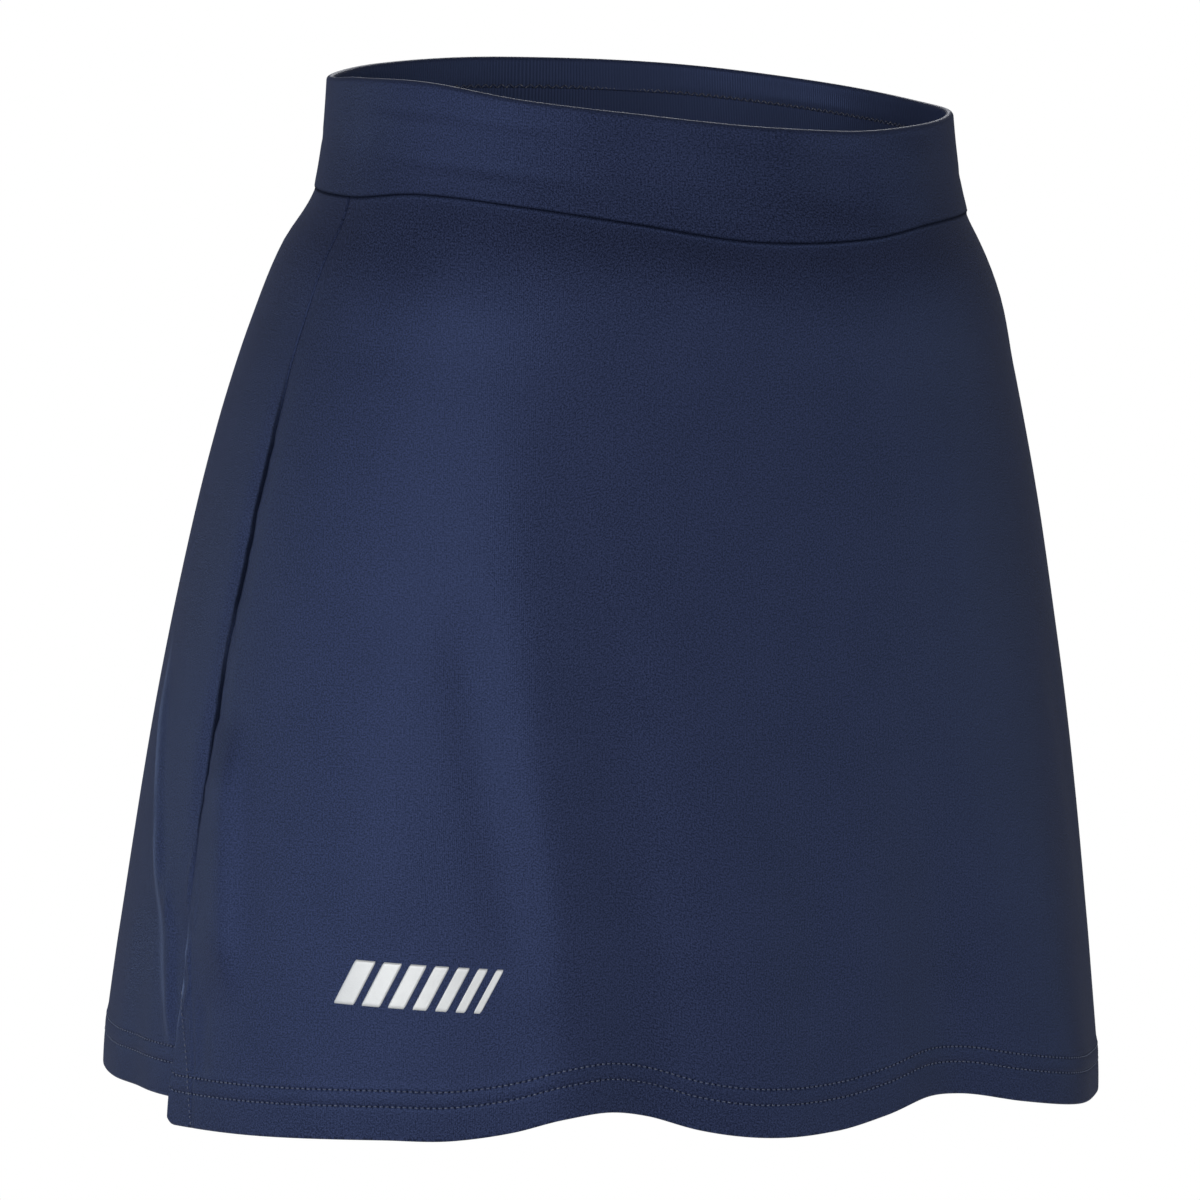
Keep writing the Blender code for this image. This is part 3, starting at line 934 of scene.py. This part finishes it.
BAND_FOLD_RADIUS = 0.0016
CASING_HEIGHT = 0.012
BAND_COLUMNS = 420
BAND_RADIUS = 0.112
BAND_GIRTH = 2 * math.pi * BAND_RADIUS
WAIST_EDGE = (
    Edge(0.0, 0.0020),
    Edge(30.0, 0.0022),
    Edge(65.0, 0.0017),
    Edge(95.0, 0.0029),
    Edge(123.0, 0.0053),
    Edge(150.0, 0.0064),
    Edge(166.0, 0.0046),
    Edge(180.0, 0.0010),
    Edge(201.0, -0.0029),
    Edge(224.0, -0.0013),
    Edge(246.0, -0.0001),
    Edge(271.0, 0.0025),
    Edge(285.0, 0.0032),
    Edge(306.0, 0.0016),
    Edge(332.0, 0.0003),
)
BAND_CREASES = (
    Crease(183.0, 0.0106, 208.0, 0.0078, 0.0018, -0.00028),
    Crease(203.0, 0.0079, 236.0, 0.0090, 0.0020, -0.00028),
    Crease(184.0, 0.0140, 214.0, 0.0116, 0.0022, 0.00020),
    Crease(190.0, 0.0280, 222.0, 0.0264, 0.0020, -0.00026),
    Crease(212.0, 0.0266, 240.0, 0.0276, 0.0022, -0.00022),
    Crease(194.0, 0.0310, 228.0, 0.0300, 0.0024, 0.00016),
    Crease(192.6, 0.0120, 184.8, 0.0240, 0.0016, -0.00022),
    Crease(186.0, 0.0200, 181.8, 0.0315, 0.0016, -0.00018),
    Crease(283.0, 0.0020, 279.0, 0.0400, 0.0110, -0.00110),
    Crease(302.0, 0.0040, 300.0, 0.0380, 0.0140, 0.00080),
    Crease(262.0, 0.0060, 260.0, 0.0400, 0.0150, 0.00050),
    Crease(318.0, 0.0240, 348.0, 0.0262, 0.0022, -0.00024),
    Crease(12.0, 0.0120, 46.0, 0.0104, 0.0020, -0.00026),
    Crease(58.0, 0.0290, 88.0, 0.0276, 0.0022, -0.00024),
    Crease(98.0, 0.0160, 132.0, 0.0180, 0.0022, -0.00024),
    Crease(141.0, 0.0300, 166.0, 0.0290, 0.0020, -0.00022),
    Crease(70.0, 0.0060, 72.0, 0.0400, 0.0140, -0.00080),
    Crease(128.0, 0.0080, 126.0, 0.0420, 0.0160, 0.00070),
)


def ring(count):
    return np.arange(count)[:, None] * 360.0 / count


def band_shell():
    """Section of the band: down the outer wall, up inside it, over the fold, round the casing.

    Each stretch is a row of drops below the waist edge with its inset from the outer face.
    """
    angle = ring(BAND_COLUMNS)
    edge = round_body(WAIST_EDGE, angle)
    seam = round_body(BAND_SEAM, angle)
    outer_radius = BAND_FOLD_RADIUS
    inner_radius = BAND_FOLD_RADIUS - CLOTH
    half = CLOTH / 2
    down = crowded(26, lambda s: 1 + 2 * bell(s, 0, 0.05) + 3 * bell(s, 1, 0.06))
    wall = edge + outer_radius + (seam - half - edge - outer_radius) * down
    lip = np.linspace(0, math.pi, 7)[None, 1:-1]
    lip_drop = seam - half + half * np.sin(lip)
    inner_wall = wall[:, ::-1]
    fold = np.linspace(0, math.pi, 9)[None, 1:-1]
    inner_fold = edge + outer_radius - inner_radius * np.sin(fold)
    casing_end = edge + CASING_HEIGHT
    casing = edge + outer_radius + (casing_end - half - edge - outer_radius) * np.linspace(0, 1, 7)
    casing_lip = casing_end - half + half * np.sin(lip)
    outer_fold = edge + outer_radius - outer_radius * np.sin(math.pi - fold)
    drop = np.concatenate(
        [wall, lip_drop, inner_wall, inner_fold, casing, casing_lip, casing[:, ::-1], outer_fold],
        axis=1,
    )
    far = 2 * BAND_FOLD_RADIUS - CLOTH
    stretches = [
        0 * down,
        half * (1 - np.cos(lip[0])),
        0 * down + CLOTH,
        outer_radius - inner_radius * np.cos(fold[0]),
        np.full(7, far),
        far + half * (1 - np.cos(lip[0])),
        np.full(7, far + CLOTH),
        outer_radius - outer_radius * np.cos(math.pi - fold[0]),
    ]
    lengths = [len(stretch) for stretch in stretches]
    inset = np.concatenate(stretches)[None, :]
    inside = np.repeat([0.0, 0.0, 1.0, 1.0, 1.0, 1.0, 1.0, 0.5], lengths)[None, :]
    lower = ease((drop - edge) / 0.006)
    crease = crease_height(BAND_CREASES, angle, drop) * lower
    sewn = 0.00035 * bell(drop, casing_end - 0.0008, 0.0007)
    sewn = sewn * (inset > far) + 0.00010 * bell(drop, seam, 0.0016) * (inset < half)
    points = cloth_point(BAND_SECTIONS, angle, drop, inset - crease - sewn * np.sign(inset - far))
    # Shade painted along the band's lower edge at the seam with the panels
    shade = bell(drop - seam, 0.0, PAINTED_DITCH_WIDTH) * (inset < far)
    return Shell(points, np.radians(angle) * BAND_RADIUS, -drop, inside, shade)


band_knit = knit("navy_band_knit", hem_rows=False, gloss=0.26)
band = cloth_piece("waistband_cloth", band_shell(), band_knit, girth=BAND_GIRTH)
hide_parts("waistband")
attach(band, "root")

# ---------------------------------------------------------------------------------------
# Waistband facing. The band's inner layer, a plain tube of the same knit seen from its
# inside, from under the casing down to the seam with the panels.

FACING_INSET = 0.00175
FACING_COLUMNS = 240


def facing_shell():
    """Closed section of the facing: down the side towards the band, up the side inside."""
    angle = ring(FACING_COLUMNS)
    top = round_body(WAIST_EDGE, angle) + CASING_HEIGHT - 0.0015
    low = round_body(BAND_SEAM, angle)
    half = CLOTH / 2
    down = np.linspace(0, 1, 12)
    wall = top + (low - top) * down
    lip = np.linspace(0, math.pi, 6)[None, 1:-1]
    drop = np.concatenate(
        [wall, low + half * np.sin(lip), wall[:, ::-1], top - half * np.sin(lip)], axis=1
    )
    turn_in = half * (1 - np.cos(lip[0]))
    inset = np.concatenate([0 * down, turn_in, 0 * down + CLOTH, turn_in[::-1]])[None, :]
    sway = 0.00025 * np.sin(np.radians(angle) * 7) * ease((drop - top) / 0.01)
    points = cloth_point(BAND_SECTIONS, angle, drop, FACING_INSET + inset + sway)
    return Shell(points, np.radians(angle) * BAND_RADIUS, -drop, np.ones((1, 1)), np.zeros((1, 1)))


facing_knit = knit("navy_inside_knit", hem_rows=False, gloss=0.2)
facing = cloth_piece("facing_cloth", facing_shell(), facing_knit, girth=BAND_GIRTH)
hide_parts("waistband_facing")
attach(facing, "root")

# ---------------------------------------------------------------------------------------
# Stitching. Polyester thread in the cloth's navy: twin needle rows round both hems, one
# row beside the vent, and a close zigzag that holds the casing down inside the band.

THREAD_RADIUS = 0.00029
STITCH_FILL = 0.66
STITCH_RINGS = 7
STITCH_SIDES = 6
THREAD_DEEP = (0.014, 0.020, 0.046, 1.0)
THREAD_LIGHT = (0.070, 0.092, 0.175, 1.0)


def stitches(name, starts, ends, out, finish):
    """Joined stitches: each a spindle of round sections from start to end, arched outwards.

    Section at share s: middle start + s (end - start) + out times an arch 4 s (1 - s), and
    the thread's radius times a flattened half round.
    """
    share = np.linspace(0.0, 1.0, STITCH_RINGS)[None, :, None, None]
    turn = np.linspace(0.0, 2 * math.pi, STITCH_SIDES, endpoint=False)[None, None, :, None]
    whole = np.linalg.norm(ends - starts, axis=-1) > 3 * THREAD_RADIUS
    starts, out = starts[whole], out[whole]
    along = ends[whole] - starts
    length = np.linalg.norm(along, axis=-1, keepdims=True)
    forward = along / length
    side = np.cross(forward, out)
    side = side / np.linalg.norm(side, axis=-1, keepdims=True)
    up = np.cross(side, forward)
    start, run, side, up = (v[:, None, None, :] for v in (starts, along, side, up))
    girth = THREAD_RADIUS * (0.25 + 0.75 * (4 * share * (1 - share)) ** 0.5)
    arch = THREAD_RADIUS * (1.1 * 4 * share * (1 - share) - 0.6)
    points = start + run * share + up * arch
    points = points + girth * (side * np.cos(turn) + up * np.sin(turn) * 0.85)
    count = len(starts)
    index = np.arange(count * STITCH_RINGS * STITCH_SIDES)
    index = index.reshape(count, STITCH_RINGS, STITCH_SIDES)
    onward = np.roll(index, -1, axis=2)
    quads = np.stack([index[:, :-1], onward[:, :-1], onward[:, 1:], index[:, 1:]], axis=-1)
    faces = quads.reshape(-1, 4).tolist()
    faces += index[:, 0, ::-1].tolist() + index[:, -1].tolist()
    piece = new_piece(name, points.reshape(-1, 3), faces, finish)
    piece.data.shade_smooth()
    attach(piece, "root")
    return piece


def thread(name, deep, light):
    """Twisted polyester thread: fine slanting ply lines, a highlight painted on their crowns, uneven
    tone.
    """
    made, shader = new_material(name)
    place = Link(made.node_tree).node("ShaderNodeTexCoord", {}, {}, "Object")
    parts = place.node("ShaderNodeSeparateXYZ", {}, {0: place})
    ply = wave((parts.output("X") + parts.output("Y") + parts.output("Z") * 0.6) * 14000.0)
    uneven = noise(place, 700.0, 2.0)
    look = {
        # Painted highlight on the ply crowns, over an uneven tone
        "Base Color": mixed(ply * 0.35 + uneven * 0.6, deep, light),
        "Roughness": 0.22 + uneven * 0.2,
        "Normal": bumped(ply * 0.00003),
        "Specular IOR Level": 0.8,
    }
    feed(shader, look)
    return made


navy_thread = thread("navy_thread", THREAD_DEEP, THREAD_LIGHT)
casing_thread = thread("casing_thread", NAVY_DEEP, NAVY_LIGHT)


def face_points(shell, place_across, above):
    """Points of a shell's outer face at distances across and above the hem, and outward
    directions there, by reading its grid of sections."""
    rows = np.arange(PANEL_ROWS)
    across, up, points = shell.across[:, rows], shell.up[:, rows], shell.points[:, rows]
    row = np.array([np.interp(-above, -heights, rows) for heights in up])
    low = np.minimum(row.astype(int), PANEL_ROWS - 2)
    part = row - low
    here = (np.arange(len(up)), low)
    beneath = (np.arange(len(up)), low + 1)
    line = across[here] * (1 - part) + across[beneath] * part
    picked = points[here] * (1 - part[:, None]) + points[beneath] * part[:, None]
    out = np.cross(points[beneath] - points[here], np.gradient(picked, axis=0))
    out = out / np.linalg.norm(out, axis=-1, keepdims=True)

    def at_places(values):
        return np.stack([np.interp(place_across, line, value) for value in values.T], axis=-1)

    return at_places(picked), at_places(out)


def hem_stitches(name, shell):
    """Both needle rows of one panel, stitch for stitch between the cloth's needle holes."""
    low, high = shell.across[2, PANEL_ROWS - 1], shell.across[-3, PANEL_ROWS - 1]
    holes = np.arange(math.ceil(low / STITCH_PITCH), math.floor(high / STITCH_PITCH)) * STITCH_PITCH
    spare = STITCH_PITCH * (1 - STITCH_FILL) / 2
    near = [face_points(shell, holes + spare, row) for row in STITCH_ROWS]
    far = [face_points(shell, holes + STITCH_PITCH - spare, row) for row in STITCH_ROWS]
    starts, outs = (np.concatenate(found) for found in zip(*near))
    ends = np.concatenate([found[0] for found in far])
    return stitches(name, starts, ends, outs, navy_thread)


front_hem_stitches = hem_stitches("front_hem_stitches", front_shell)
back_hem_stitches = hem_stitches("back_hem_stitches", back_shell)

# The row beside the vent
VENT_ROW_TOP = VENT_TOP + 0.030
VENT_ROW_END = FRONT_HEM[0].drop - 0.002


def vent_points(drops):
    """Points of the vent's stitch row on the front panel, and outward directions there."""
    places = front_shell.across[0, PANEL_ROWS - 1] + vent_row_distance(drops)
    aboves = FRONT_HEM[0].drop - drops
    found = [face_points(front_shell, place[None], above) for place, above in zip(places, aboves)]
    return tuple(np.concatenate(part) for part in zip(*found))


vent_drops = np.arange(VENT_ROW_TOP, VENT_ROW_END, STITCH_PITCH)
vent_start, vent_out = vent_points(vent_drops)
vent_end, _ = vent_points(vent_drops + STITCH_PITCH * STITCH_FILL)
vent_stitches = stitches("vent_stitches", vent_start, vent_end, vent_out, navy_thread)

# The casing's zigzag
ZIGZAG_PITCH = 0.0015
ZIGZAG_SWING = 0.0008
zigzag_count = 2 * round(BAND_GIRTH / ZIGZAG_PITCH / 2)


def casing_point(step):
    """Zigzag corner number step, and the direction into the waist opening there."""
    angle = step * 360.0 / zigzag_count
    swing = np.where(np.mod(step, 2) == 0, -1.0, 1.0) * ZIGZAG_SWING
    drop = round_body(WAIST_EDGE, angle) + CASING_HEIGHT - 0.0006 + swing
    inset = 2 * BAND_FOLD_RADIUS + 0.0001
    return cloth_point(BAND_SECTIONS, angle, drop, inset)


steps = np.arange(zigzag_count, dtype=float)
zigzag_start = casing_point(steps)
zigzag_end = casing_point(steps + 1)
zigzag_inwards = -zigzag_start * np.array([1.0, 1.0, 0.0])
casing_stitches = stitches(
    "casing_stitches", zigzag_start, zigzag_end, zigzag_inwards, casing_thread
)

# ---------------------------------------------------------------------------------------
# Transfer. A row of leaning bars in satin silver film, heat-pressed low on the front near
# the vent; each bar is a thin slab that follows the cloth, with softened corners.

BAR_COUNT = 7
BAR_ROW_ANGLES = (211.0, 233.0)
BAR_DROPS = (0.3215, 0.3385)
BAR_LEAN = 2.6
WIDEST_BAR = 2.9
NARROWEST_BAR = 0.9
FILM = 0.0003
FILM_LIFT = 0.00012
FILM_CORNER = 0.10
FILM_DEEP = (0.50, 0.51, 0.52, 1.0)
FILM_LIGHT = (0.66, 0.67, 0.67, 1.0)


def film(name):
    """Satin silver film that takes up a little of the knit's grain."""
    made, shader = new_material(name)
    place = Link(made.node_tree).node("ShaderNodeTexCoord", {}, {}, "Object")
    fleck = noise(place, 2200.0, 2.0)
    patch = noise(place, 160.0, 2.0)
    look = {
        "Base Color": mixed(fleck * 0.5 + patch * 0.5, FILM_DEEP, FILM_LIGHT),
        "Roughness": 0.34 + fleck * 0.2,
        "Normal": bumped(fleck * 0.00002 + noise(place, 900.0, 1.0) * 0.00003),
        "Metallic": 0.25,
    }
    feed(shader, look)
    return made


silver_film = film("silver_film")


def bar_shell(first_angle, width):
    """Closed sections across a bar: its outer face down, its back up, corners drawn in."""
    count, rows = 16, 26
    across = np.linspace(0.0, 1.0, count)[:, None]
    down = np.linspace(0.0, 1.0, rows)
    share = np.concatenate([down, down[::-1]])[None, :]
    near_end = np.clip(1 - np.minimum(share, 1 - share) / FILM_CORNER, 0.0, 1.0)
    drawn = 1 - (1 - np.sqrt(1 - near_end**2)) * min(1.0, 1.6 * FILM_CORNER * 2.9 / width) * 0.5
    angle = first_angle + width * (0.5 + (across - 0.5) * drawn) + BAR_LEAN * (1 - share)
    drop = BAR_DROPS[0] + (BAR_DROPS[1] - BAR_DROPS[0]) * share + 0 * across
    far_in = np.full(angle.shape, 1.0)
    face = front_shaping(angle, drop, far_in, far_in)
    edge_share = np.minimum(np.minimum(across, 1 - across) / 0.08, np.minimum(share, 1 - share) / 0.04)
    thick = FILM * (0.35 + 0.65 * np.sqrt(1 - np.clip(1 - edge_share, 0.0, 1.0) ** 2))
    lift = np.concatenate([np.ones(rows), np.zeros(rows)])[None, :]
    points = cloth_point(SKIRT_SECTIONS, angle, drop, face - FILM_LIFT + 0.00010 - thick * lift)
    plain = np.zeros((1, 1))
    return Shell(points, across * 0.01 + 0 * share, 0 * across - share * 0.02, plain, plain)


widths = np.linspace(WIDEST_BAR, NARROWEST_BAR, BAR_COUNT)
bar_gap = (BAR_ROW_ANGLES[1] - BAR_ROW_ANGLES[0] - BAR_LEAN - widths.sum()) / (BAR_COUNT - 1)
bar_starts = BAR_ROW_ANGLES[0] + np.concatenate([[0.0], np.cumsum(widths[:-1] + bar_gap)])
for number, (bar_start, bar_width) in enumerate(zip(bar_starts, widths), start=1):
    bar = cloth_piece(f"silver_bar_{number}", bar_shell(bar_start, bar_width), silver_film)
    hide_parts(f"transfer_bar_{number}")
    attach(bar, "root")
